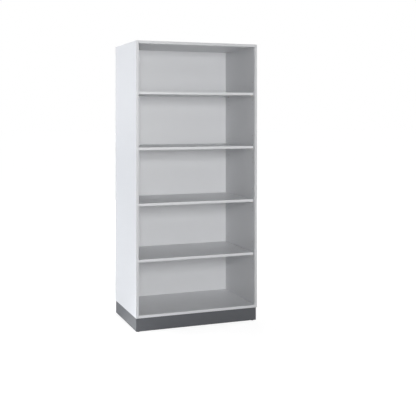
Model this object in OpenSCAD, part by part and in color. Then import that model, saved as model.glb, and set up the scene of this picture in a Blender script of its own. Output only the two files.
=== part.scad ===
// Open laboratory shelf unit: a board carcass with four loose shelves on a steel plinth.
// Millimetres, +Z up, front towards -Y. The origin is on the floor under the middle of the unit.

/* [Cabinet] */
// Overall width
cabinet_w = 900; // [600:10:1200]
// Overall depth
cabinet_d = 570; // [400:10:700]
// Overall height above the floor
cabinet_h = 1990; // [1850:10:2300]

/* [Boards] */
// Thickness of the side, top and bottom boards
board_t = 19; // [16:1:25]
// Thickness of the back panel
back_t = 8; // [5:1:10]
// Distance from the rear edges of the carcass to the back panel
back_recess = 9; // [6:1:20]
// Depth of the grooves that hold the back panel
groove_depth = 8; // [5:1:9]
// Free width of a groove beside the back panel, on each face
groove_play = 0.1; // [0.05:0.05:0.3]
// Free depth of a groove beyond the edge of the back panel
groove_end_play = 0.5; // [0.2:0.1:1]
// Thickness of the edging on the front edges
front_edging_t = 2; // [1:0.5:3]
// Thickness of the edging on all other edges
thin_edging_t = 1; // [0.5:0.5:2]
// Radius milled on the outer corners of an edging
edging_r = 1.5; // [0.3:0.1:2]
// Hairline joint where two edgings of one board meet
edging_joint = 0.1; // [0.05:0.05:0.2]

/* [Shelves] */
// Thickness of a shelf
shelf_t = 19; // [16:1:25]
// Top of the lowest shelf above the bottom board
first_shelf_h = 375; // [200:1:400]
// Grid steps from one shelf to the next
shelf_steps = 12; // [8:1:12]
// Distance from the front of the unit to the front of a shelf
shelf_setback = 25; // [10:1:28]
// Gap between a shelf and the side board, at each end
shelf_end_gap = 1.5; // [1.5:0.5:3]
// Gap between a shelf and the back panel
shelf_back_gap = 2; // [1:0.5:10]

/* [System holes] */
// Pitch of the hole grid
grid_pitch = 32; // [25:1:32]
// Diameter of a system hole
hole_d = 5; // [3:0.5:5]
// Depth of a system hole
hole_depth = 13; // [10:0.5:14]
// Holes in the group at each shelf
holes_per_group = 7; // [1:2:7]
// Distance from the front of the unit to the front hole row
hole_front = 37; // [32:1:60]
// Least distance from the rear hole row to the back panel
hole_rear_margin = 60; // [40:1:90]

/* [Shelf supports] */
// Length of the plug in the system hole
pin_plug_l = 9; // [6:0.5:9.5]
// Radial clearance of the plug in the system hole
pin_fit = 0.05; // [0.02:0.01:0.1]
// Diameter of the collar on the side board
collar_d = 9; // [8.5:0.5:11]
// Thickness of the collar
collar_t = 1.2; // [0.8:0.1:1.3]
// Diameter of the arm under the shelf
arm_d = 8; // [7:0.5:8]
// Length of the arm
arm_l = 9; // [6:0.5:14]
// Height of the arm's flat seat above the hole axis
arm_seat = 3; // [2:0.25:3]
// Chamfer on the end of the arm
arm_chamfer = 0.8; // [0.3:0.1:1.5]

/* [Dowels] */
// Diameter of a dowel
dowel_d = 8; // [6:0.5:8]
// Length of a dowel
dowel_l = 35; // [30:1:40]
// Depth of a dowel in the side board
dowel_side_depth = 12; // [9:0.5:13]
// Dowels at each end of the top and the bottom board
dowel_count = 5; // [3:1:6]
// Distance from the front of the unit to the first dowel
dowel_front = 50; // [45:1:70]
// Distance from the last dowel to the back panel
dowel_rear_margin = 35; // [30:1:60]
// Clearance round a dowel and beyond its ends
dowel_fit = 0.1; // [0.05:0.05:0.2]
// Chamfer on the ends of a dowel
dowel_chamfer = 1; // [0.5:0.1:1.5]

/* [Plinth] */
// Height of the plinth frame
plinth_h = 93; // [80:1:150]
// Distance from the front of the unit to the plinth
plinth_front_inset = 12; // [5:1:60]
// Distance from each side of the unit to the plinth
plinth_side_inset = 3.5; // [1:0.5:6]
// Thickness of the sheet steel
sheet_t = 2; // [1.5:0.25:3]
// Inside radius of a bend
bend_r = 1.5; // [0.5:0.5:2.5]
// Width of the top flange
top_flange = 30; // [26:1:45]
// Width of the bottom hem
bottom_hem = 9; // [7:0.5:10]

/* [Plinth screws] */
// Screws in the front and in the rear flange
long_side_screws = 4; // [2:1:6]
// Distance from the plinth's corner to the first of these screws
long_side_screw_end = 90; // [60:1:120]
// Distance from the plinth's outer face to a screw
screw_line = 22; // [21:0.5:23]
// Diameter of a screw's shank
screw_shank_d = 4; // [3:0.5:4.5]
// Length of a screw's shank
screw_shank_l = 15; // [10:0.5:16]
// Diameter of a screw's head
screw_head_d = 8; // [7:0.5:9]
// Height of a screw's head
screw_head_h = 2.5; // [2:0.1:3]
// Radial clearance of a shank in the board
screw_fit = 0.05; // [0.02:0.01:0.1]
// Radial clearance of a shank in the flange
flange_hole_play = 0.25; // [0.1:0.05:0.5]

/* [Levelling feet] */
// Gap between the plinth and the floor
foot_gap = 5; // [3:0.5:12]
// Distance from the plinth's outer faces to a foot's axis
foot_inset = 20; // [20:0.5:24]
// Diameter of the pad
pad_d = 18; // [16:0.5:18]
// Height of the pad
pad_h = 7; // [6:0.5:10]
// Radius on the lower rim of the pad
pad_r = 1; // [0.5:0.1:1.5]
// Thickness of the pad under the spindle
pad_floor = 2; // [1.5:0.25:2.5]
// Thread diameter of the spindle
spindle_d = 10; // [8:0.5:10]
// Length of the thread above the hexagon
spindle_l = 45; // [40:1:55]
// Width across flats of the spindle's hexagon
spindle_hex_af = 14; // [13:0.5:15]
// Height of the spindle's hexagon
spindle_hex_h = 5; // [4:0.5:6]
// Diameter of the neck in the pad
neck_d = 6; // [5:0.5:7]
// Diameter of the button at the end of the neck
button_d = 10; // [9:0.5:12]
// Height of the button
button_h = 2; // [1.5:0.25:2.5]
// Radial clearance of the turning parts
turn_fit = 0.05; // [0.02:0.01:0.1]
// Axial clearance of the button in the pad
button_play = 0.2; // [0.1:0.05:0.3]
// Chamfer on the end of the thread
spindle_chamfer = 1; // [0.5:0.1:1.5]
// Width across flats of the weld nut
nut_af = 17; // [16:0.5:18]
// Height of the weld nut
nut_h = 8; // [6:0.5:10]
// Thickness of the corner plate
plate_t = 3; // [2:0.5:4]
// Side length of the corner plate
plate_side = 45; // [40:1:55]
// Length cut off the plate's inner corner
plate_cut = 18; // [10:1:25]
// Radial clearance of the thread in the plate
plate_hole_play = 0.5; // [0.25:0.05:1]
// Clearance between the raised hexagon and the plate
plate_clear = 1; // [0.5:0.1:3]

/* [Hidden] */
$fn = 48;
shelf_count = 4;
foot_count = 4;
// Overrun of a cutter past the face that it opens
cut = 1;
// Largest share of an edging's thickness that its rounding takes
edging_round_share = 0.8;
hexagon_sides = 6;

half_w = cabinet_w / 2;
front_y = -cabinet_d / 2;
rear_y = cabinet_d / 2;
carcass_z = foot_gap + plinth_h;
carcass_h = cabinet_h - carcass_z;
inner_half_w = half_w - board_t;
floor_z = carcass_z + board_t;
ceiling_z = cabinet_h - board_t;
back_y = rear_y - back_recess - back_t;

grid_rows = floor((back_y - front_y - hole_front - hole_rear_margin) / grid_pitch);
hole_rows_y = [front_y + hole_front, front_y + hole_front + grid_rows * grid_pitch];
group_half = (holes_per_group - 1) / 2;

shelf_half_w = inner_half_w - shelf_end_gap;
shelf_front_y = front_y + shelf_setback;
shelf_rear_y = back_y - shelf_back_gap;

dowel_first_y = front_y + dowel_front;
dowel_last_y = back_y - dowel_rear_margin;
dowel_rows_z = [carcass_z + board_t / 2, cabinet_h - board_t / 2];
dowel_board_depth = dowel_l - dowel_side_depth;

plinth_half_w = half_w - plinth_side_inset;
plinth_front_y = front_y + plinth_front_inset;
plinth_mid_y = (plinth_front_y + rear_y) / 2;
plinth_d = rear_y - plinth_front_y;
// Places of the side flanges' screws, half way between the first two and the last two dowels
side_screw_places = [0.5, dowel_count - 1.5];

foot_x = plinth_half_w - foot_inset;
foot_front_y = plinth_front_y + foot_inset;
foot_rear_y = rear_y - foot_inset;
hex_z = pad_h;
plate_z = pad_h + spindle_hex_h + foot_gap + plate_clear;

laminate = "#d3d4d6";
edge_grey = "#d0d1d3";
anthracite = "#585b5f";
steel = "#b9bbbd";
beech = "#d2b287";
black_plastic = "#2b2c2e";

// Height of the top face of a shelf, counted from the bottom
function shelf_top(i) = floor_z + first_shelf_h + (i - 1) * shelf_steps * grid_pitch;

// Height of the hole axis that carries a shelf
function support_z(i) = shelf_top(i) - shelf_t - arm_seat;

// Place of a dowel along the depth, where whole numbers are dowels and halves lie between two
function dowel_y(k) = dowel_first_y + k * (dowel_last_y - dowel_first_y) / (dowel_count - 1);

// Places of the screws along the front and rear flanges
function long_screw_x(k) = (plinth_half_w - long_side_screw_end) * (2 * k / (long_side_screws - 1) - 1);

// Place of a foot's axis: 1 front left, 2 front right, 3 rear left, 4 rear right
function foot_place(i) = [(i % 2 == 1 ? -1 : 1) * foot_x, i <= 2 ? foot_front_y : foot_rear_y];

// Section of an edging: its outer face is at y = 0 and its glued face at y = t
module edging_section(width, t) {
    r = min(edging_r, edging_round_share * t);
    translate([0, r])
        square([width, t - r]);
    translate([r, 0])
        square([width - 2 * r, t]);
    intersection() {
        square([width, t]);
        for (x = [r, width - r])
            translate([x, r])
                circle(r);
    }
}

// Upright edging: width along X, outer face towards -Y
module upright_edging(width, t, length) {
    linear_extrude(length)
        edging_section(width, t);
}

// Level edging along X from x = 0: width along Z, outer face towards -Y
module level_edging(width, t, length) {
    translate([length, 0, 0])
        rotate([0, -90, 0])
            linear_extrude(length)
                edging_section(width, t);
}

// Thin edging on the end of a board along Y: width along X, outer face towards +Z
module end_edging(width, length) {
    translate([0, length, 0])
        rotate([90, 0, 0])
            linear_extrude(length)
                translate([0, thin_edging_t])
                    mirror([0, 1])
                        edging_section(width, thin_edging_t);
}

// Cutter for a round hole along X that opens at x = 0 and goes towards +X
module hole_along_x(d, depth) {
    translate([-cut, 0, 0])
        rotate([0, 90, 0])
            cylinder(d = d, h = depth + cut);
}

// The groups of system holes in the left side board, two rows with one group at each shelf
module system_holes() {
    for (i = [1:shelf_count], k = [-group_half:group_half], y = hole_rows_y)
        translate([-inner_half_w, y, support_z(i) + k * grid_pitch])
            mirror([1, 0, 0])
                hole_along_x(hole_d, hole_depth);
}

// Cutter for the groove of the back panel, as wide and as high as the panel's full seat
module back_groove() {
    translate([
        -inner_half_w - groove_depth,
        back_y - groove_play,
        floor_z - groove_depth
    ])
        cube([
            2 * (inner_half_w + groove_depth),
            back_t + 2 * groove_play,
            ceiling_z - floor_z + 2 * groove_depth
        ]);
}

// The left side board with its holes and groove
module side_board() {
    difference() {
        translate([-half_w, front_y + front_edging_t, carcass_z + thin_edging_t])
            cube([
                board_t,
                cabinet_d - front_edging_t - thin_edging_t,
                carcass_h - 2 * thin_edging_t
            ]);
        system_holes();
        back_groove();
        for (k = [0:dowel_count - 1], z = dowel_rows_z)
            translate([-inner_half_w, dowel_y(k), z])
                mirror([1, 0, 0])
                    hole_along_x(dowel_d + 2 * dowel_fit, dowel_side_depth + dowel_fit);
    }
}

// The four edgings round the left side board
module side_edging() {
    translate([-half_w, front_y, carcass_z])
        upright_edging(board_t, front_edging_t, carcass_h);
    translate([-half_w, rear_y, carcass_z])
        mirror([0, 1, 0])
            upright_edging(board_t, thin_edging_t, carcass_h);
    end_y = front_y + front_edging_t + edging_joint;
    end_length = rear_y - thin_edging_t - edging_joint - end_y;
    translate([-half_w, end_y, cabinet_h - thin_edging_t])
        end_edging(board_t, end_length);
    translate([-half_w, end_y, carcass_z + thin_edging_t])
        mirror([0, 0, 1])
            end_edging(board_t, end_length);
}

// A top or bottom board between the sides, with the dowel holes in its two ends
module cross_board(z) {
    difference() {
        translate([-inner_half_w, front_y + front_edging_t, z])
            cube([2 * inner_half_w, cabinet_d - front_edging_t - thin_edging_t, board_t]);
        back_groove();
        for (side = [0, 1], k = [0:dowel_count - 1])
            mirror([side, 0, 0])
                translate([-inner_half_w, dowel_y(k), z + board_t / 2])
                    hole_along_x(dowel_d + 2 * dowel_fit, dowel_board_depth + dowel_fit);
    }
}

// Front and rear edging of a top or bottom board
module cross_edging(z) {
    translate([-inner_half_w, front_y, z])
        level_edging(board_t, front_edging_t, 2 * inner_half_w);
    translate([-inner_half_w, rear_y, z])
        mirror([0, 1, 0])
            level_edging(board_t, thin_edging_t, 2 * inner_half_w);
}

module side_panel_left() {
    color(laminate)
        side_board();
}

module side_panel_right() {
    color(laminate)
        mirror([1, 0, 0])
            side_board();
}

module side_edging_left() {
    color(edge_grey)
        side_edging();
}

module side_edging_right() {
    color(edge_grey)
        mirror([1, 0, 0])
            side_edging();
}

module top_panel() {
    color(laminate)
        cross_board(ceiling_z);
}

module top_edging() {
    color(edge_grey)
        cross_edging(ceiling_z);
}

// The bottom board also has the pilot holes of the plinth screws
module bottom_panel() {
    color(laminate)
        difference() {
            cross_board(carcass_z);
            at_plinth_screws()
                translate([0, 0, -cut])
                    cylinder(d = screw_shank_d + 2 * screw_fit, h = screw_shank_l - sheet_t + cut);
        }
}

module bottom_edging() {
    color(edge_grey)
        cross_edging(carcass_z);
}

// The back panel sits in the grooves of the sides, the top and the bottom
module back_panel() {
    reach = groove_depth - groove_end_play;
    color(laminate)
        translate([-inner_half_w - reach, back_y, floor_z - reach])
            cube([2 * (inner_half_w + reach), back_t, ceiling_z - floor_z + 2 * reach]);
}

// A dowel along X from x = 0, chamfered at both ends
module dowel() {
    rotate([0, 90, 0]) {
        cylinder(d1 = dowel_d - 2 * dowel_chamfer, d2 = dowel_d, h = dowel_chamfer);
        translate([0, 0, dowel_chamfer])
            cylinder(d = dowel_d, h = dowel_l - 2 * dowel_chamfer);
        translate([0, 0, dowel_l - dowel_chamfer])
            cylinder(d1 = dowel_d, d2 = dowel_d - 2 * dowel_chamfer, h = dowel_chamfer);
    }
}

// The glued dowels between the sides and the top and bottom boards
module carcass_dowels() {
    color(beech)
        for (side = [0, 1], k = [0:dowel_count - 1], z = dowel_rows_z)
            mirror([side, 0, 0])
                translate([-inner_half_w - dowel_side_depth, dowel_y(k), z])
                    dowel();
}

// The board of a shelf, inside its edging
module shelf(i) {
    color(laminate)
        translate([
            -shelf_half_w + thin_edging_t,
            shelf_front_y + front_edging_t,
            shelf_top(i) - shelf_t
        ])
            cube([
                2 * (shelf_half_w - thin_edging_t),
                shelf_rear_y - shelf_front_y - front_edging_t - thin_edging_t,
                shelf_t
            ]);
}

// The edging of a shelf: front and rear over the full width, the two ends between them
module shelf_edging(i) {
    z = shelf_top(i) - shelf_t;
    end_y = shelf_front_y + front_edging_t + edging_joint;
    end_length = shelf_rear_y - thin_edging_t - edging_joint - end_y;
    color(edge_grey) {
        translate([-shelf_half_w, shelf_front_y, z])
            level_edging(shelf_t, front_edging_t, 2 * shelf_half_w);
        translate([-shelf_half_w, shelf_rear_y, z])
            mirror([0, 1, 0])
                level_edging(shelf_t, thin_edging_t, 2 * shelf_half_w);
        for (side = [0, 1])
            mirror([side, 0, 0])
                translate([shelf_half_w, end_y, z])
                    rotate([0, 0, 90])
                        level_edging(shelf_t, thin_edging_t, end_length);
    }
}

// A shelf support along +X: plug, collar and an arm with a flat seat
module shelf_support() {
    rotate([0, 90, 0]) {
        translate([0, 0, -pin_plug_l])
            cylinder(d = hole_d - 2 * pin_fit, h = pin_plug_l);
        cylinder(d = collar_d, h = collar_t);
    }
    difference() {
        translate([collar_t, 0, 0])
            rotate([0, 90, 0]) {
                cylinder(d = arm_d, h = arm_l - arm_chamfer);
                translate([0, 0, arm_l - arm_chamfer])
                    cylinder(d1 = arm_d, d2 = arm_d - 2 * arm_chamfer, h = arm_chamfer);
            }
        translate([collar_t, -arm_d / 2 - cut, arm_seat])
            cube([arm_l + cut, arm_d + 2 * cut, arm_d]);
    }
}

// The four supports under a shelf
module shelf_supports(i) {
    color(steel)
        for (side = [0, 1], y = hole_rows_y)
            mirror([side, 0, 0])
                translate([-inner_half_w, y, support_z(i)])
                    shelf_support();
}

// A quarter of a bend about the origin, from the -X side to the -Y side
module bend_section() {
    intersection() {
        difference() {
            circle(bend_r + sheet_t);
            circle(bend_r);
        }
        translate([-bend_r - sheet_t, -bend_r - sheet_t])
            square(bend_r + sheet_t);
    }
}

// Section of a plinth channel: outer face at x = 0, hem at the bottom, flange at the top
module channel_section() {
    outer_r = bend_r + sheet_t;
    translate([0, outer_r])
        square([sheet_t, plinth_h - 2 * outer_r]);
    translate([outer_r, 0])
        square([bottom_hem - outer_r, sheet_t]);
    translate([outer_r, plinth_h - sheet_t])
        square([top_flange - outer_r, sheet_t]);
    translate([outer_r, outer_r])
        bend_section();
    translate([outer_r, plinth_h - outer_r])
        mirror([0, 1])
            bend_section();
}

// A channel along X with its outer face at y = 0, facing -Y, and both ends mitred
module mitred_channel(length) {
    intersection() {
        translate([-length / 2, 0, 0])
            rotate([90, 0, 90])
                linear_extrude(length)
                    channel_section();
        translate([0, 0, -cut])
            linear_extrude(plinth_h + 2 * cut)
                polygon([
                    [-length / 2, 0],
                    [length / 2, 0],
                    [length / 2 - top_flange, top_flange],
                    [-length / 2 + top_flange, top_flange]
                ]);
    }
}

// Places of all plinth screws, at the underside of the bottom board
module at_plinth_screws() {
    for (k = [0:long_side_screws - 1], y = [plinth_front_y + screw_line, rear_y - screw_line])
        translate([long_screw_x(k), y, carcass_z])
            children();
    for (x = [-plinth_half_w + screw_line, plinth_half_w - screw_line], k = side_screw_places)
        translate([x, dowel_y(k), carcass_z])
            children();
}

// A plinth channel in its place, with the screw holes of its top flange
module drilled_channel(length, place, turn) {
    color(anthracite)
        difference() {
            translate([place[0], place[1], foot_gap])
                rotate([0, 0, turn])
                    mitred_channel(length);
            at_plinth_screws()
                translate([0, 0, -sheet_t - cut])
                    cylinder(d = screw_shank_d + 2 * flange_hole_play, h = sheet_t + 2 * cut);
        }
}

module plinth_front() {
    drilled_channel(2 * plinth_half_w, [0, plinth_front_y], 0);
}

module plinth_rear() {
    drilled_channel(2 * plinth_half_w, [0, rear_y], 180);
}

module plinth_left() {
    drilled_channel(plinth_d, [-plinth_half_w, plinth_mid_y], -90);
}

module plinth_right() {
    drilled_channel(plinth_d, [plinth_half_w, plinth_mid_y], 90);
}

// Puts its children on each foot's axis, turned so that +X and +Y point away from the corner
module at_feet() {
    for (i = [1:foot_count])
        translate(foot_place(i))
            mirror([foot_place(i)[0] > 0 ? 1 : 0, 0, 0])
                mirror([0, i > 2 ? 1 : 0, 0])
                    children();
}

// The plates that are welded across the inside of the plinth's corners
module plinth_corner_plates() {
    near = sheet_t - foot_inset;
    far = near + plate_side;
    color(anthracite)
        at_feet()
            translate([0, 0, plate_z])
                difference() {
                    linear_extrude(plate_t)
                        polygon([
                            [near, near],
                            [far, near],
                            [far, far - plate_cut],
                            [far - plate_cut, far],
                            [near, far]
                        ]);
                    translate([0, 0, -cut])
                        cylinder(d = spindle_d + 2 * plate_hole_play, h = plate_t + 2 * cut);
                }
}

// A hexagon given by its width across flats
module hexagon(af, h) {
    cylinder(d = af / cos(180 / hexagon_sides), h = h, $fn = hexagon_sides);
}

module plinth_weld_nuts() {
    color(steel)
        at_feet()
            translate([0, 0, plate_z + plate_t])
                difference() {
                    hexagon(nut_af, nut_h);
                    translate([0, 0, -cut])
                        cylinder(d = spindle_d + 2 * turn_fit, h = nut_h + 2 * cut);
                }
}

// Pan-head screws up through the plinth's top flange into the bottom board
module plinth_screws() {
    color(steel)
        at_plinth_screws() {
            translate([0, 0, -sheet_t])
                cylinder(d = screw_shank_d, h = screw_shank_l);
            translate([0, 0, -sheet_t - screw_head_h])
                cylinder(d = screw_head_d, h = screw_head_h);
        }
}

// The pad is turned round a captive button, so it stays still while the spindle turns
module foot_pad(i) {
    color(black_plastic)
        translate(foot_place(i))
            difference() {
                rotate_extrude() {
                    translate([0, pad_r])
                        square([pad_d / 2, pad_h - pad_r]);
                    square([pad_d / 2 - pad_r, pad_r]);
                    intersection() {
                        translate([pad_d / 2 - pad_r, pad_r])
                            circle(pad_r);
                        square(pad_d / 2);
                    }
                }
                translate([0, 0, pad_floor])
                    cylinder(d = button_d + 2 * turn_fit, h = button_h + button_play);
                translate([0, 0, pad_floor + button_h])
                    cylinder(d = neck_d + 2 * turn_fit, h = pad_h);
            }
}

// The spindle: button, neck, hexagon and thread
module foot_spindle(i) {
    thread_z = hex_z + spindle_hex_h;
    color(steel)
        translate(foot_place(i)) {
            translate([0, 0, pad_floor])
                cylinder(d = button_d, h = button_h);
            translate([0, 0, pad_floor + button_h])
                cylinder(d = neck_d, h = pad_h - pad_floor - button_h);
            translate([0, 0, hex_z])
                hexagon(spindle_hex_af, spindle_hex_h);
            translate([0, 0, thread_z])
                cylinder(d = spindle_d, h = spindle_l - spindle_chamfer);
            translate([0, 0, thread_z + spindle_l - spindle_chamfer])
                cylinder(d1 = spindle_d, d2 = spindle_d - 2 * spindle_chamfer, h = spindle_chamfer);
        }
}

side_panel_left();
side_panel_right();
side_edging_left();
side_edging_right();
top_panel();
top_edging();
bottom_panel();
bottom_edging();
back_panel();
carcass_dowels();
plinth_front();
plinth_rear();
plinth_left();
plinth_right();
plinth_corner_plates();
plinth_weld_nuts();
plinth_screws();
for (i = [1:shelf_count]) {
    shelf(i);
    shelf_edging(i);
    shelf_supports(i);
}
for (i = [1:foot_count]) {
    foot_pad(i);
    foot_spindle(i);
}
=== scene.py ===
import math

import bmesh
import bpy
from mathutils import Matrix, Vector


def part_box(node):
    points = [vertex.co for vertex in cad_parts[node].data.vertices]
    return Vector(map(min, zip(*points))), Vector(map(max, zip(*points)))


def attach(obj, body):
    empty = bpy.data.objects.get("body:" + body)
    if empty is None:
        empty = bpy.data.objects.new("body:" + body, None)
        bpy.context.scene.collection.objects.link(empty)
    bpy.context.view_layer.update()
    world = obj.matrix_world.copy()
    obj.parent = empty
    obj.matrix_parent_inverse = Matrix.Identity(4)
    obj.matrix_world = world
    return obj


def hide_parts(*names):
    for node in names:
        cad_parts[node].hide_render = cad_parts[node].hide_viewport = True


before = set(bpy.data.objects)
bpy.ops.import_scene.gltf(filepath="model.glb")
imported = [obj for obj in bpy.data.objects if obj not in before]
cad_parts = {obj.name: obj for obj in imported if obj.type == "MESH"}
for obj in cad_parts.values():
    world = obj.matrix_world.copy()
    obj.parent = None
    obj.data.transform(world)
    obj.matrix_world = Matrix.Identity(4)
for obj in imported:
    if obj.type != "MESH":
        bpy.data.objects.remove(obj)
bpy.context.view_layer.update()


# Plinth frame.
# Four channels of 2 mm sheet steel, folded at the flange and the hem, mitred and welded at the
# corners. The frame is coated after welding, and its corner plates and weld beads with it.

# Sizes are in millimetres, also those that a pattern's scale comes from. Only the floor, the lights
# and the camera are in metres.
sheet = 2.0
bead_r = 2.4
bead_end_r = 1.6
bead_inset = 0.7
bead_sides = 12
hem_gap = 0.2
plate_gap = 0.4
ripple_h = 0.25
ripple_pitch = 2.4
ripple_steps = 4
sharp_angle = 30


def linear(colour):
    """Turns an sRGB colour such as "#5a5b60" into linear light."""
    parts = [int(colour[i:i + 2], 16) / 255 for i in (1, 3, 5)]
    return [p / 12.92 if p <= 0.04045 else ((p + 0.055) / 1.055) ** 2.4 for p in parts] + [1.0]


def add(tree, kind, inputs, **settings):
    """Adds a node with its settings. An input is a value, or the output that it is linked to."""
    node = tree.nodes.new(kind)
    for name, value in settings.items():
        setattr(node, name, value)
    for name, value in inputs.items():
        if isinstance(value, bpy.types.NodeSocket):
            tree.links.new(value, node.inputs[name])
        else:
            node.inputs[name].default_value = value
    return node


def new_material(name):
    """Starts a material. Returns it, its node tree and the place on the piece at rest."""
    material = bpy.data.materials.new(name)
    material.use_nodes = True
    tree = material.node_tree
    tree.nodes.clear()
    return material, tree, add(tree, "ShaderNodeTexCoord", {}).outputs["Object"]


def dress(material, *names):
    """Gives nodes of the frame their material."""
    for name in names:
        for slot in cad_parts[name].material_slots:
            slot.material = material


def turned(outline, sides=48, closed=False, caps=(True, True)):
    """Turns an outline round +Z. A point's radius and height may depend on the angle."""
    shape = bmesh.new()
    rings = []
    for radius, height in outline:
        ring = []
        for k in range(sides):
            a = 2 * math.pi * k / sides
            r = radius(a) if callable(radius) else radius
            z = height(a) if callable(height) else height
            ring.append(shape.verts.new((r * math.cos(a), r * math.sin(a), z)))
        rings.append(ring)
    for low, high in zip(rings, rings[1:] + rings[:1] if closed else rings[1:]):
        for k in range(sides):
            n = (k + 1) % sides
            shape.faces.new((low[k], low[n], high[n], high[k]))
    if not closed:
        for ring, wanted in zip((rings[0], rings[-1]), caps):
            if wanted:
                shape.faces.new(ring)
    return shape


def make_piece(name, shapes, places, material):
    """Makes one object from shapes in millimetres, with a copy of each shape at every place."""
    whole = bmesh.new()
    for shape in shapes:
        part = bpy.data.meshes.new("part")
        shape.to_mesh(part)
        shape.free()
        for place in places:
            copy = part.copy()
            copy.transform(place)
            whole.from_mesh(copy)
            bpy.data.meshes.remove(copy)
        bpy.data.meshes.remove(part)
    bmesh.ops.recalc_face_normals(whole, faces=whole.faces)
    mesh = bpy.data.meshes.new(name)
    whole.to_mesh(mesh)
    whole.free()
    mesh.transform(Matrix.Scale(0.001, 4))
    mesh.shade_smooth()
    mesh.set_sharp_from_angle(angle=math.radians(sharp_angle))
    mesh.materials.append(material)
    piece = bpy.data.objects.new(name, mesh)
    bpy.context.scene.collection.objects.link(piece)
    return piece


# Powder coat, baked on steel: the melted powder flows into a fine orange peel, so the satin sheen
# looks slightly grained. The pigment is even, and only the gloss wanders a little. The peel is
# 1.2 mm wide, too fine to show from a few steps away, so a second grain is drawn 5 mm wide.
peel_width, peel_depth = 1.2, 0.03
grain_width, grain_depth = 5.0, 0.4
cloud_width = 40.0

powder_coat, tree, place = new_material("powder_coat_anthracite")
peel = add(tree, "ShaderNodeTexNoise", {
    "Vector": place, "Scale": 1000 / peel_width, "Detail": 2.0, "Roughness": 0.45})
cloud = add(tree, "ShaderNodeTexNoise", {
    "Vector": place, "Scale": 1000 / cloud_width, "Detail": 3.0})
shade = add(tree, "ShaderNodeMix", {
    0: cloud.outputs["Fac"], 6: linear("#54565a"), 7: linear("#595b5f")}, data_type="RGBA")
gloss = add(tree, "ShaderNodeMapRange", {
    "Value": cloud.outputs["Fac"], "To Min": 0.43, "To Max": 0.49})
relief = add(tree, "ShaderNodeBump", {
    "Height": peel.outputs["Fac"], "Strength": 0.6, "Distance": peel_depth / 1000})
grains = add(tree, "ShaderNodeTexNoise", {
    "Vector": place, "Scale": 1000 / grain_width, "Detail": 1.0})
relief = add(tree, "ShaderNodeBump", {
    "Height": grains.outputs["Fac"], "Strength": 1.0, "Distance": grain_depth / 1000,
    "Normal": relief.outputs["Normal"]})
coat = add(tree, "ShaderNodeBsdfPrincipled", {
    "Base Color": shade.outputs[2], "Roughness": gloss.outputs["Result"], "IOR": 1.5,
    "Normal": relief.outputs["Normal"]})
add(tree, "ShaderNodeOutputMaterial", {"Surface": coat.outputs["BSDF"]})

dress(powder_coat, "plinth_front", "plinth_rear", "plinth_left", "plinth_right",
      "plinth_corner_plates")

plinth_low, plinth_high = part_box("plinth_front")
_, side_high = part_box("plinth_right")
plate_low, plate_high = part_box("plinth_corner_plates")
beads = []
for low_z, high_z in (
        (plinth_low.z * 1000 + sheet + hem_gap, plate_low.z * 1000 - plate_gap),
        (plate_high.z * 1000 + plate_gap, plinth_high.z * 1000 - sheet - hem_gap)):
    steps = round((high_z - low_z) / (ripple_pitch / ripple_steps))
    outline = []
    for k in range(steps + 1):
        z = low_z + (high_z - low_z) * k / steps
        mean_r = bead_end_r if k in (0, steps) else bead_r
        outline.append((mean_r + ripple_h * math.sin(2 * math.pi * z / ripple_pitch), z))
    beads.append(turned(outline, sides=bead_sides))
from_face = sheet + bead_inset
corners = [
    Matrix.Translation((sx * (side_high.x * 1000 - from_face), y, 0)) for sx in (-1, 1)
    for y in (plinth_low.y * 1000 + from_face, side_high.y * 1000 - from_face)]
plinth_welds = make_piece("plinth_weld_beads", beads, corners, powder_coat)
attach(plinth_welds, "carcass")


# Weld nuts.
# M10 nuts of bright zinc-plated steel, welded to the corner plates with a bead round the foot.

nut_af = 17.0
nut_h = 8.0
corner_ring = 0.35
corner_angle = 30
nut_bore_r = 5.05
nut_bore_edge = 0.7
nut_bead_r = 1.1
nut_bead_out = 0.3
nut_bead_up = 0.2
nut_bead_ripple = 0.12
nut_bead_ripples = 30
nut_bead_sides = 10
plate_top = plate_high.z * 1000
nut_top = plate_top + nut_h


def hexagon_radius(af, a):
    """Radius of a hexagon's outline at an angle, with a corner on +X."""
    return af / 2 / math.cos(a % (math.pi / 3) - math.pi / 6)


def hexagon_outline(af, low, high):
    """The outside of a hexagon from low to high, with its corners turned down to a ring."""
    inner = af / 2 - corner_ring
    fall = math.tan(math.radians(corner_angle))
    return [
        (inner, low),
        (lambda a: hexagon_radius(af, a), lambda a: low + (hexagon_radius(af, a) - inner) * fall),
        (lambda a: hexagon_radius(af, a), lambda a: high - (hexagon_radius(af, a) - inner) * fall),
        (inner, high)]


def nut_bead_line(turn):
    """One line along the bead round the nut, at this angle on the bead's own round section."""
    def swell(a):
        return nut_bead_r + nut_bead_ripple * math.sin(nut_bead_ripples * a)

    return (lambda a: hexagon_radius(nut_af, a) + nut_bead_out + swell(a) * math.cos(turn),
            lambda a: plate_top + nut_bead_up + swell(a) * math.sin(turn))


# Zinc plating, bright and passivated: a cool, slightly blue metal whose fine crystals spread the
# highlights unevenly.
crystal_width = 1.5
stain_width, stain_depth = 6.0, 0.02

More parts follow.
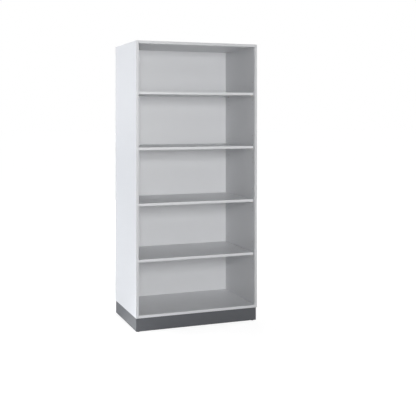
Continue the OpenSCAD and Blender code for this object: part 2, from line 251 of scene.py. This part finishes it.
zinc_plate, tree, place = new_material("zinc_plated_steel_bright")
crystals = add(tree, "ShaderNodeTexVoronoi", {"Vector": place, "Scale": 1000 / crystal_width})
stain = add(tree, "ShaderNodeTexNoise", {
    "Vector": place, "Scale": 1000 / stain_width, "Detail": 4.0})
shade = add(tree, "ShaderNodeMix", {
    0: stain.outputs["Fac"], 6: linear("#b4b9bf"), 7: linear("#c9ccce")}, data_type="RGBA")
gloss = add(tree, "ShaderNodeMapRange", {
    "Value": crystals.outputs["Distance"], "To Min": 0.28, "To Max": 0.42})
relief = add(tree, "ShaderNodeBump", {
    "Height": stain.outputs["Fac"], "Strength": 0.3, "Distance": stain_depth / 1000})
plating = add(tree, "ShaderNodeBsdfPrincipled", {
    "Base Color": shade.outputs[2], "Roughness": gloss.outputs["Result"], "Metallic": 1.0,
    "Normal": relief.outputs["Normal"]})
add(tree, "ShaderNodeOutputMaterial", {"Surface": plating.outputs["BSDF"]})

feet = []
for n in (1, 2, 3, 4):
    low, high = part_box(f"foot_pad_{n}")
    feet.append((low + high) / 2 * 1000)
nut = turned(hexagon_outline(nut_af, plate_top, nut_top) + [
    (nut_bore_r + nut_bore_edge, nut_top), (nut_bore_r, nut_top - nut_bore_edge),
    (nut_bore_r, plate_top + nut_bore_edge), (nut_bore_r + nut_bore_edge, plate_top)], closed=True)
nut_bead = turned([
    nut_bead_line(2 * math.pi * k / nut_bead_sides) for k in range(nut_bead_sides)],
    sides=6 * nut_bead_ripples, closed=True)
at_nuts = [Matrix.Translation((foot.x, foot.y, 0)) for foot in feet]
weld_nuts = make_piece("weld_nuts", [nut, nut_bead], at_nuts, zinc_plate)
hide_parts("plinth_weld_nuts")
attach(weld_nuts, "carcass")


# Levelling feet.
# A moulded pad of black polyamide, snapped over the button of an M10 spindle. The spindle has a
# hexagon for the spanner and a rolled thread, and is zinc plated like the nut that it turns in.

pad_r = 9.0
pad_h = 7.0
pad_edge = 0.6
pad_edge_in = 0.2
rim_r = 1.0
rim_steps = 6
groove_h = 0.5
pocket_low = 2.0
pocket_high = 4.2
mouth_edge = 0.35
centre_r = 0.8
# The pad's underside as radius and height, from the middle outwards: two rings and the start of
# the rim to stand on, with grooves between them.
underside = (
    (centre_r, groove_h), (2.2, groove_h), (2.6, 0), (3.8, 0), (4.1, groove_h), (5.1, groove_h),
    (5.4, 0), (6.5, 0), (6.8, groove_h), (7.3, groove_h), (7.6, 0))
play = 0.05
button_r = 5.0
button_top = 4.0
button_edge = 0.3
neck_r = 3.0
spanner_af = 14.0
thread_r = 5.0
thread_root_r = 4.08
thread_end_r = 4.0
thread_pitch = 1.5
thread_low = 12.0
thread_high = 57.0
root_share = 1 / 4
crest_share = 1 / 8
same_place = 0.001

# Polyamide, moulded in a spark-eroded tool: a dark, dull skin with a very fine grain and a little
# of the grey that scuffing leaves.
spark_width, spark_depth = 0.4, 0.03
scuff_width = 8.0

polyamide, tree, place = new_material("polyamide_black_moulded")
grain = add(tree, "ShaderNodeTexNoise", {
    "Vector": place, "Scale": 1000 / spark_width, "Detail": 2.0})
scuff = add(tree, "ShaderNodeTexNoise", {
    "Vector": place, "Scale": 1000 / scuff_width, "Detail": 5.0})
shade = add(tree, "ShaderNodeMix", {
    0: scuff.outputs["Fac"], 6: linear("#1c1c1e"), 7: linear("#2b2b2d")}, data_type="RGBA")
gloss = add(tree, "ShaderNodeMapRange", {
    "Value": scuff.outputs["Fac"], "To Min": 0.5, "To Max": 0.65})
relief = add(tree, "ShaderNodeBump", {
    "Height": grain.outputs["Fac"], "Strength": 0.5, "Distance": spark_depth / 1000})
moulding = add(tree, "ShaderNodeBsdfPrincipled", {
    "Base Color": shade.outputs[2], "Roughness": gloss.outputs["Result"], "IOR": 1.53,
    "Normal": relief.outputs["Normal"]})
add(tree, "ShaderNodeOutputMaterial", {"Surface": moulding.outputs["BSDF"]})


def threaded_rod(sides=24):
    """The rolled thread as one strip along its helix, narrowed to a plain ring at both ends."""
    crest_start = root_share + (1 - root_share - crest_share) / 2
    profile = ((0.0, thread_root_r), (root_share, thread_root_r),
               (crest_start, thread_r), (crest_start + crest_share, thread_r))
    shape = bmesh.new()
    turns = math.ceil((thread_high - thread_low) / thread_pitch) + 2
    stations = []
    for i in range(turns * sides + 1):
        a = 2 * math.pi * i / sides
        station = []
        for share, radius in profile:
            z = thread_low + (i / sides - 1 + share) * thread_pitch
            z = min(max(z, thread_low), thread_high)
            r = min(radius, thread_end_r + min(z - thread_low, thread_high - z))
            station.append(shape.verts.new((r * math.cos(a), r * math.sin(a), z)))
        stations.append(station)
    for i, (here, there) in enumerate(zip(stations, stations[1:])):
        for j in range(3):
            shape.faces.new((here[j], there[j], there[j + 1], here[j + 1]))
        if i + 1 + sides < len(stations):
            above, beside = stations[i + sides], stations[i + 1 + sides]
            shape.faces.new((here[3], there[3], beside[0], above[0]))
    bmesh.ops.remove_doubles(shape, verts=shape.verts, dist=same_place)
    return shape


rim = [(pad_r - rim_r + rim_r * math.sin(t), rim_r - rim_r * math.cos(t))
       for t in (math.pi / 2 * k / rim_steps for k in range(rim_steps + 1))]
button_low = pocket_low + play
for n, foot in enumerate(feet, 1):
    at_foot = [Matrix.Translation((foot.x, foot.y, 0))]
    pad_shape = turned([
        *underside, *rim, (pad_r, pad_h - pad_edge), (pad_r - pad_edge_in, pad_h - pad_edge_in),
        (pad_r - pad_edge, pad_h), (neck_r + play + mouth_edge, pad_h),
        (neck_r + play, pad_h - mouth_edge), (neck_r + play, pocket_high),
        (button_r + play, pocket_high), (button_r + play, pocket_low), (centre_r, pocket_low)])
    pad = make_piece(f"moulded_pad_{n}", [pad_shape], at_foot, polyamide)
    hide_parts(f"foot_pad_{n}")
    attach(pad, f"foot_pad_{n}")

    stem = turned([
        (centre_r, button_low), (button_r - button_edge, button_low),
        (button_r, button_low + button_edge), (button_r, button_top - button_edge),
        (button_r - button_edge, button_top), (neck_r, button_top), (neck_r, pad_h + play),
        *hexagon_outline(spanner_af, pad_h + play, thread_low), (thread_end_r, thread_low)],
        sides=24, caps=(True, False))
    rod = bpy.data.meshes.new("rod")
    thread = threaded_rod()
    thread.to_mesh(rod)
    thread.free()
    stem.from_mesh(rod)
    bpy.data.meshes.remove(rod)
    bmesh.ops.remove_doubles(stem, verts=stem.verts, dist=same_place)
    bmesh.ops.holes_fill(stem, edges=[e for e in stem.edges if e.is_boundary], sides=0)
    spindle = make_piece(f"threaded_spindle_{n}", [stem], at_foot, zinc_plate)
    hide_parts(f"foot_spindle_{n}")
    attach(spindle, f"foot_spindle_{n}")


# Boards.
# 19 mm chipboard, pressed with light grey melamine on both faces. The side boards have two rows of
# drilled 5 mm holes, where the brown core shows; the 8 mm back panel lies in a groove all round.

# Melamine, pressed against a plate with a pearl texture: even light grey with a soft satin sheen,
# broken up by shallow dimples about 0.8 mm apart, and very faintly clouded by the paper under it.
# The dimples keep their real size, because such boards look plain from a few steps away.
dimple_width, dimple_depth = 0.8, 0.04
paper_width = 90.0


def melamine(name):
    """The facing of the boards, and its node tree, for a core to be added to it."""
    material, tree, place = new_material(name)
    dimples = add(tree, "ShaderNodeTexVoronoi", {
        "Vector": place, "Scale": 1000 / dimple_width}, feature="SMOOTH_F1")
    paper = add(tree, "ShaderNodeTexNoise", {
        "Vector": place, "Scale": 1000 / paper_width, "Detail": 4.0})
    shade = add(tree, "ShaderNodeMix", {
        0: paper.outputs["Fac"], 6: linear("#d7d8da"), 7: linear("#dadbdd")}, data_type="RGBA")
    gloss = add(tree, "ShaderNodeMapRange", {
        "Value": paper.outputs["Fac"], "To Min": 0.36, "To Max": 0.42})
    relief = add(tree, "ShaderNodeBump", {
        "Height": dimples.outputs["Distance"], "Strength": 0.5, "Distance": dimple_depth / 1000})
    facing = add(tree, "ShaderNodeBsdfPrincipled", {
        "Base Color": shade.outputs[2], "Roughness": gloss.outputs["Result"], "IOR": 1.5,
        "Normal": relief.outputs["Normal"]})
    output = add(tree, "ShaderNodeOutputMaterial", {"Surface": facing.outputs["BSDF"]})
    return material, tree, place, facing, output


board, *_ = melamine("melamine_light_grey")
dress(board, "top_panel", "bottom_panel", "back_panel", *[f"shelf_{n}" for n in (1, 2, 3, 4)])

# Drilled melamine board: the same facing, with the raw chips of the core from 0.3 mm below it.
facing_skin = 0.3
chip_width, chip_depth = 1.4, 0.2

drilled_board, tree, place, facing, output = melamine("melamine_light_grey_drilled")
panel_low, panel_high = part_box("side_panel_right")
chips = add(tree, "ShaderNodeTexVoronoi", {"Vector": place, "Scale": 1000 / chip_width})
chip_colour = add(tree, "ShaderNodeMix", {
    0: chips.outputs["Distance"], 6: linear("#6f5a41"), 7: linear("#a58a66")}, data_type="RGBA")
chip_relief = add(tree, "ShaderNodeBump", {
    "Height": chips.outputs["Distance"], "Strength": 0.8, "Distance": chip_depth / 1000})
core = add(tree, "ShaderNodeBsdfPrincipled", {
    "Base Color": chip_colour.outputs[2], "Roughness": 0.85,
    "Normal": chip_relief.outputs["Normal"]})
across = add(tree, "ShaderNodeSeparateXYZ", {"Vector": place}).outputs["X"]
from_middle = add(tree, "ShaderNodeMath", {0: across}, operation="ABSOLUTE")
depth = add(tree, "ShaderNodeMath", {
    0: from_middle.outputs[0], 1: (panel_low.x + panel_high.x) / 2}, operation="SUBTRACT")
inside = add(tree, "ShaderNodeMath", {0: depth.outputs[0]}, operation="ABSOLUTE")
is_core = add(tree, "ShaderNodeMath", {
    0: inside.outputs[0], 1: (panel_high.x - panel_low.x) / 2 - facing_skin / 1000},
    operation="LESS_THAN")
mixed = add(tree, "ShaderNodeMixShader", {
    0: is_core.outputs[0], 1: facing.outputs["BSDF"], 2: core.outputs["BSDF"]})
tree.links.new(mixed.outputs["Shader"], output.inputs["Surface"])
dress(drilled_board, "side_panel_left", "side_panel_right")


# Edging.
# ABS strips, 2 mm on the front edges and 1 mm on the others, glued on and milled round. The scraper
# leaves faint lines along each strip.

scrape_width, scrape_depth = 0.6, 0.02
scrape_stretch = 0.02


def edging(name, stretch, dark, pale):
    """ABS edging whose scraper lines run along the axis with the small number in `stretch`."""
    material, tree, place = new_material(name)
    along = add(tree, "ShaderNodeVectorMath", {0: place, 1: stretch}, operation="MULTIPLY")
    lines = add(tree, "ShaderNodeTexNoise", {
        "Vector": along.outputs[0], "Scale": 1000 / scrape_width, "Detail": 2.0})
    shade = add(tree, "ShaderNodeMix", {
        0: lines.outputs["Fac"], 6: linear(dark), 7: linear(pale)}, data_type="RGBA")
    gloss = add(tree, "ShaderNodeMapRange", {
        "Value": lines.outputs["Fac"], "To Min": 0.34, "To Max": 0.46})
    relief = add(tree, "ShaderNodeBump", {
        "Height": lines.outputs["Fac"], "Strength": 0.3, "Distance": scrape_depth / 1000})
    strip = add(tree, "ShaderNodeBsdfPrincipled", {
        "Base Color": shade.outputs[2], "Roughness": gloss.outputs["Result"], "IOR": 1.53,
        "Normal": relief.outputs["Normal"]})
    add(tree, "ShaderNodeOutputMaterial", {"Surface": strip.outputs["BSDF"]})
    return material


# ABS, extruded and scraped: a plain light grey plastic with a silky sheen along the strip. Its
# lines are as fine as the real ones and show only close up. The uprights and the top strip are
# drawn a shade darker than the shelves' strips.
upright = edging("abs_edging_upright", (1, 1, scrape_stretch), "#c9cacc", "#cecfd1")
dress(upright, "side_edging_left", "side_edging_right")
top_strip = edging("abs_edging_top", (scrape_stretch, 1, 1), "#cbccce", "#d0d1d3")
dress(top_strip, "top_edging")
level_strip = edging("abs_edging_level", (scrape_stretch, 1, 1), "#d2d3d5", "#d7d8da")
dress(level_strip, "bottom_edging", *[f"shelf_edging_{n}" for n in (1, 2, 3, 4)])


# Dowels.
# Beech dowels, turned and pressed with fine flutes, glued between the side boards and the others.

# Raw beech: pale reddish brown with short darker flecks along the dowel, which lies along X.
fleck_width, fleck_stretch = 0.5, 0.06
flute_width, flute_depth = 1.2, 0.2

beech, tree, place = new_material("beech_fluted")
fibres = add(tree, "ShaderNodeVectorMath", {0: place, 1: (fleck_stretch, 1, 1)},
             operation="MULTIPLY")
flecks = add(tree, "ShaderNodeTexNoise", {
    "Vector": fibres.outputs[0], "Scale": 1000 / fleck_width, "Detail": 3.0})
flutes = add(tree, "ShaderNodeTexWave", {
    "Vector": place, "Scale": 1000 / flute_width, "Distortion": 0.4}, bands_direction="Z")
shade = add(tree, "ShaderNodeMix", {
    0: flecks.outputs["Fac"], 6: linear("#b98f63"), 7: linear("#dcbd92")}, data_type="RGBA")
relief = add(tree, "ShaderNodeBump", {
    "Height": flutes.outputs["Fac"], "Strength": 0.8, "Distance": flute_depth / 1000})
timber = add(tree, "ShaderNodeBsdfPrincipled", {
    "Base Color": shade.outputs[2], "Roughness": 0.7, "Normal": relief.outputs["Normal"]})
add(tree, "ShaderNodeOutputMaterial", {"Surface": timber.outputs["BSDF"]})
dress(beech, "carcass_dowels")


# Plinth screws.
# Zinc-plated chipboard screws with a pan head and a cross recess, driven up through the plinth's
# flange into the bottom board.

head_r = 4.0
head_h = 2.5
head_edge = 0.15
# The head's crown as radius and distance from its lowest point.
crown = ((0.6, 0.0), (2.9, 0.05), (3.5, 0.35), (3.85, 0.9), (head_r, 1.5))
shank_r = 2.0
shank_l = 15.0
shank_root = 0.1
shank_root_h = 0.3
point_l = 2.5
point_r = 0.4
recess_w = 1.0
recess_l = 4.6
recess_d = 1.6
recess_narrow = 0.6
cutter_over = 0.5
screw_line = 22.0
long_row_end = 90.0
side_row_y = (-176.5, 174.5)
turn_per_mm = 0.7

flange_under = plinth_high.z * 1000 - sheet


def pan_head():
    """A screw with its recessed head down, with the underside of the flange at height 0."""
    shape = turned([
        *[(radius, up - head_h) for radius, up in crown],
        (head_r, -head_edge), (head_r - head_edge, 0), (shank_r + shank_root, 0),
        (shank_r, shank_root_h), (shank_r, shank_l - point_l), (point_r, shank_l)], sides=36)
    solid = bpy.data.meshes.new("screw")
    shape.to_mesh(solid)
    shape.free()
    cross = bmesh.new()
    half_w, half_l = recess_w / 2, recess_l / 2
    quarter = [(half_l, -half_w), (half_l, half_w), (half_w, half_w)]
    outline = [Matrix.Rotation(math.radians(90 * k), 2) @ Vector(p)
               for k in range(4) for p in quarter]
    rings = [[cross.verts.new((p.x * narrow, p.y * narrow, z)) for p in outline]
             for narrow, z in ((1.0, -head_h - cutter_over), (recess_narrow, recess_d - head_h))]
    for k in range(len(outline)):
        n = (k + 1) % len(outline)
        cross.faces.new((rings[0][k], rings[0][n], rings[1][n], rings[1][k]))
    cross.faces.new(rings[0])
    cross.faces.new(rings[1])
    bmesh.ops.recalc_face_normals(cross, faces=cross.faces)
    cutter_mesh = bpy.data.meshes.new("cross")
    cross.to_mesh(cutter_mesh)
    cross.free()
    body = bpy.data.objects.new("screw", solid)
    cutter = bpy.data.objects.new("cross", cutter_mesh)
    for o in (body, cutter):
        bpy.context.scene.collection.objects.link(o)
    cut = body.modifiers.new("recess", "BOOLEAN")
    cut.operation = "DIFFERENCE"
    cut.solver = "EXACT"
    cut.object = cutter
    bpy.context.view_layer.update()
    evaluated = body.evaluated_get(bpy.context.evaluated_depsgraph_get())
    done = bpy.data.meshes.new_from_object(evaluated)
    result = bmesh.new()
    result.from_mesh(done)
    for o in (body, cutter):
        bpy.data.objects.remove(o)
    for m in (solid, cutter_mesh, done):
        bpy.data.meshes.remove(m)
    return result


side_line_x = side_high.x * 1000 - screw_line
long_row_x = [(side_high.x * 1000 - long_row_end) * third for third in (-1, -1 / 3, 1 / 3, 1)]
long_row_y = (plinth_low.y * 1000 + screw_line, side_high.y * 1000 - screw_line)
screw_places = [(x, y) for x in long_row_x for y in long_row_y]
screw_places += [(x, y) for x in (-side_line_x, side_line_x) for y in side_row_y]
# Each screw comes to a stop at an angle of its own.
at_screws = [
    Matrix.Translation((x, y, flange_under)) @ Matrix.Rotation(x * turn_per_mm + y, 4, "Z")
    for x, y in screw_places]
screws = make_piece("pan_head_screws", [pan_head()], at_screws, zinc_plate)
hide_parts("plinth_screws")
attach(screws, "carcass")


# Shelf supports.
# Turned from steel bar and nickel plated: a 5 mm plug, a collar that stops it at the board, and an
# arm with a flat on top, on which the shelf lies.

plug_r = 2.45
plug_l = 9.0
collar_r = 4.5
collar_t = 1.2
collar_edge = 0.2
collar_back_edge = 0.15
arm_r = 4.0
arm_l = 9.0
arm_seat = 3.0
# The plug's rounded tip as radius and distance from its end, and the arm's as distances from its
# side and its end.
plug_tip = ((1.6, 0.0), (1.95, 0.1), (plug_r, 0.8))
arm_tip = ((0.0, 0.8), (0.25, 0.35), (0.8, 0.0))

# Nickel plating, satin: a warm grey metal with fine turning marks round the piece.
mark_width = 0.7

nickel, tree, place = new_material("nickel_plated_steel_satin")
marks = add(tree, "ShaderNodeTexNoise", {
    "Vector": place, "Scale": 1000 / mark_width, "Detail": 3.0})
shade = add(tree, "ShaderNodeMix", {
    0: marks.outputs["Fac"], 6: linear("#bdb8b0"), 7: linear("#cfcac2")}, data_type="RGBA")
gloss = add(tree, "ShaderNodeMapRange", {
    "Value": marks.outputs["Fac"], "To Min": 0.24, "To Max": 0.38})
plating = add(tree, "ShaderNodeBsdfPrincipled", {
    "Base Color": shade.outputs[2], "Roughness": gloss.outputs["Result"], "Metallic": 1.0})
add(tree, "ShaderNodeOutputMaterial", {"Surface": plating.outputs["BSDF"]})


def seated(radius):
    """Radius of the arm with its flat on the side that is turned upwards, which is -X here."""
    return lambda a: min(radius, arm_seat / -math.cos(a)) if math.cos(a) < 0 else radius


arm_end = collar_t + arm_l
for n in (1, 2, 3, 4):
    low, high = (corner * 1000 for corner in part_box(f"shelf_supports_{n}"))
    axis_z = low.z + collar_r
    inner_x = high.x - plug_l
    support = turned([
        *[(radius, along - plug_l) for radius, along in plug_tip],
        (plug_r, 0), (collar_r - collar_back_edge, 0), (collar_r, collar_back_edge),
        (collar_r, collar_t - collar_edge), (collar_r - collar_edge, collar_t),
        (seated(arm_r), collar_t),
        *[(seated(arm_r - inwards), arm_end - back) for inwards, back in arm_tip]], sides=72)
    at_holes = [
        Matrix.Diagonal((side, 1, 1, 1)) @ Matrix.Translation((-inner_x, y, axis_z))
        @ Matrix.Rotation(math.radians(90), 4, "Y")
        for side in (-1, 1) for y in (low.y + collar_r, high.y - collar_r)]
    supports = make_piece(f"turned_supports_{n}", [support], at_holes, nickel)
    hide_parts(f"shelf_supports_{n}")
    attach(supports, "carcass")


# Floor and surroundings.
# A plain white studio floor that runs out to a white horizon. It throws light back at the unit,
# and the camera sees it as white as the background, apart from the unit's shadow.

reach = 60.0
floor_mesh = bpy.data.meshes.new("studio_floor")
floor_mesh.from_pydata(
    [(-reach, -reach, 0), (reach, -reach, 0), (reach, reach, 0), (-reach, reach, 0)],
    [], [(0, 1, 2, 3)])
floor = bpy.data.objects.new("studio_floor", floor_mesh)
bpy.context.scene.collection.objects.link(floor)

# Matt white paint: it scatters most of the light, without a sheen. Reflections show the lit paint,
# with a painted pool of light beside the unit's left side: a patch that glows only in reflections,
# which puts a sheen on the plinth there.
paint_width = 20.0
near, far = 0.8, 3.0
near_level = 0.88
painted_pool_place = (-0.6, 0.0, 0.0)
painted_pool_inner, painted_pool_outer = 0.08, 0.34
painted_pool_level = 0.95

floor_paint, tree, place = new_material("floor_paint_matt_white")
rays = add(tree, "ShaderNodeLightPath", {})
seen = add(tree, "ShaderNodeMath", {
    0: rays.outputs["Is Camera Ray"], 1: rays.outputs["Is Transmission Ray"]}, operation="MAXIMUM")
grain = add(tree, "ShaderNodeTexNoise", {
    "Vector": place, "Scale": 1000 / paint_width, "Detail": 2.0})
tone = add(tree, "ShaderNodeMix", {
    0: grain.outputs["Fac"], 6: linear("#e6e6e6"), 7: linear("#eaeaea")}, data_type="RGBA")
paint = add(tree, "ShaderNodeBsdfDiffuse", {"Color": tone.outputs[2]})
faint = add(tree, "ShaderNodeBsdfDiffuse", {"Color": linear("#898989")})
away = add(tree, "ShaderNodeVectorMath", {0: place}, operation="LENGTH")
level = add(tree, "ShaderNodeMapRange", {
    "Value": away.outputs["Value"], "From Min": near, "From Max": far,
    "To Min": near_level, "To Max": 1.0}, interpolation_type="SMOOTHSTEP")
white = add(tree, "ShaderNodeEmission", {
    "Color": linear("#ffffff"), "Strength": level.outputs["Result"]})
bright = add(tree, "ShaderNodeAddShader", {0: faint.outputs[0], 1: white.outputs[0]})
# Painted pool of light: a round patch that glows white in reflections only, brightest in its middle
# and gone at its outer radius.
from_painted_pool = add(tree, "ShaderNodeVectorMath", {0: place, 1: painted_pool_place}, operation="DISTANCE")
painted_pool = add(tree, "ShaderNodeMapRange", {
    "Value": from_painted_pool.outputs["Value"], "From Min": painted_pool_inner, "From Max": painted_pool_outer,
    "To Min": painted_pool_level, "To Max": 0.0}, interpolation_type="SMOOTHSTEP")
painted_pool_in_reflections = add(tree, "ShaderNodeMath", {
    0: rays.outputs["Is Glossy Ray"], 1: painted_pool.outputs["Result"]}, operation="MULTIPLY")
painted_pool_glow = add(tree, "ShaderNodeEmission", {
    "Color": linear("#ffffff"), "Strength": painted_pool_in_reflections.outputs[0]})
lit_and_painted_pool = add(tree, "ShaderNodeAddShader", {0: paint.outputs[0], 1: painted_pool_glow.outputs[0]})
both = add(tree, "ShaderNodeMixShader", {
    0: seen.outputs[0], 1: lit_and_painted_pool.outputs[0], 2: bright.outputs[0]})
add(tree, "ShaderNodeOutputMaterial", {"Surface": both.outputs[0]})
floor_mesh.materials.append(floor_paint)

# The background is white to the camera and in reflections, and gives almost no light of its own.
ambient_level = 0.01

world = bpy.data.worlds.new("studio")
bpy.context.scene.world = world
world.use_nodes = True
tree = world.node_tree
tree.nodes.clear()
rays = add(tree, "ShaderNodeLightPath", {})
seen = add(tree, "ShaderNodeMath", {
    0: rays.outputs["Is Camera Ray"], 1: rays.outputs["Is Glossy Ray"]}, operation="ADD")
seen = add(tree, "ShaderNodeMath", {
    0: seen.outputs[0], 1: rays.outputs["Is Transmission Ray"]}, operation="ADD", use_clamp=True)
ambient = add(tree, "ShaderNodeBackground", {
    "Color": linear("#ffffff"), "Strength": ambient_level})
white = add(tree, "ShaderNodeBackground", {"Color": linear("#ffffff"), "Strength": 1.0})
both = add(tree, "ShaderNodeMixShader", {
    0: seen.outputs[0], 1: ambient.outputs[0], 2: white.outputs[0]})
add(tree, "ShaderNodeOutputWorld", {"Surface": both.outputs[0]})


# Lights and camera.
# Soft boxes: five in front of the unit, three slightly cool ones at its left, and one each at the
# right, behind and above. A spot and the camera stand to the left of the unit's middle as well.

aim = Vector((0, 0, 1))
white_light = (1, 1, 1)
cool_light = (0.94, 0.961, 1.0)


def soft_box(name, azimuth, distance, height, size, level, tint=white_light):
    """A lamp that faces the unit's middle, and renders a white surface there at this level."""
    turn = math.radians(azimuth)
    lamp = bpy.data.lights.new(name, "AREA")
    lamp.shape = "RECTANGLE"
    lamp.size, lamp.size_y = size
    lamp.color = tint
    box = bpy.data.objects.new(name, lamp)
    box.location = (-math.sin(turn) * distance, -math.cos(turn) * distance, height)
    towards = aim - box.location
    lamp.energy = level * math.pi ** 2 * towards.length_squared
    box.rotation_euler = towards.to_track_quat("-Z", "Y").to_euler()
    box.visible_camera = False
    bpy.context.scene.collection.objects.link(box)


# Each has its azimuth from the front round to the left, its distance, height, size and level.
soft_box("front_box", 0, 5.5, 1.55, (0.8, 0.6), 0.244)
soft_box("front_high_box", 0, 5.5, 2.15, (0.8, 0.6), 0.113)
soft_box("front_low_box", 12, 5.5, 0.95, (0.8, 0.6), 0.073)
soft_box("key_box", 19, 5.5, 2.15, (0.8, 0.6), 0.136)
soft_box("key_high_box", 19, 5.5, 3.5, (0.8, 0.6), 0.04)
soft_box("left_box", 112, 7.0, 1.6, (2.0, 2.0), 0.52, cool_light)
soft_box("left_near_box", 92, 2.5, 0.9, (0.6, 0.6), 0.245, cool_light)
soft_box("corner_box", 60, 1.8, 2.5, (0.5, 0.5), 0.04, cool_light)
soft_box("right_box", -105, 8.0, 2.0, (2.0, 2.0), 0.35)
soft_box("rear_box", -160, 8.0, 2.0, (2.5, 2.5), 0.43)
soft_box("top_box", 180, 1.0, 3.8, (0.8, 0.8), 0.28)

# A spot light on the floor in front of the left corner, whose pool of light shows in the plinth.
spot_place = Vector((-1.2, -0.32, 2.6))
pool_place = Vector((-0.62, -0.4, 0))
spot_level = 0.5
spot_angle = 18

to_pool = pool_place - spot_place
spot = bpy.data.lights.new("corner_spot", "SPOT")
spot.spot_size = math.radians(spot_angle)
spot.spot_blend = 1.0
spot.shadow_soft_size = 0.1
spot.color = cool_light
spot.energy = spot_level * 4 * math.pi ** 2 * to_pool.length_squared
spot_lamp = bpy.data.objects.new("corner_spot", spot)
spot_lamp.location = spot_place
spot_lamp.rotation_euler = to_pool.to_track_quat("-Z", "Y").to_euler()
spot_lamp.visible_camera = False
bpy.context.scene.collection.objects.link(spot_lamp)

# The shift keeps the uprights parallel, as in the photograph, with the whole unit in the frame.
camera_data = bpy.data.cameras.new("camera")
camera_data.sensor_width = 36.0
camera_data.lens = 67.45
camera_data.shift_y = -0.2212
camera_data.clip_end = 200.0
camera = bpy.data.objects.new("camera", camera_data)
camera.location = (-1.876, -5.406, 1.4755)
camera.rotation_euler = (math.radians(90), 0, math.radians(-20.83))
bpy.context.scene.collection.objects.link(camera)
bpy.context.scene.camera = camera
bpy.context.scene.view_settings.view_transform = "Standard"
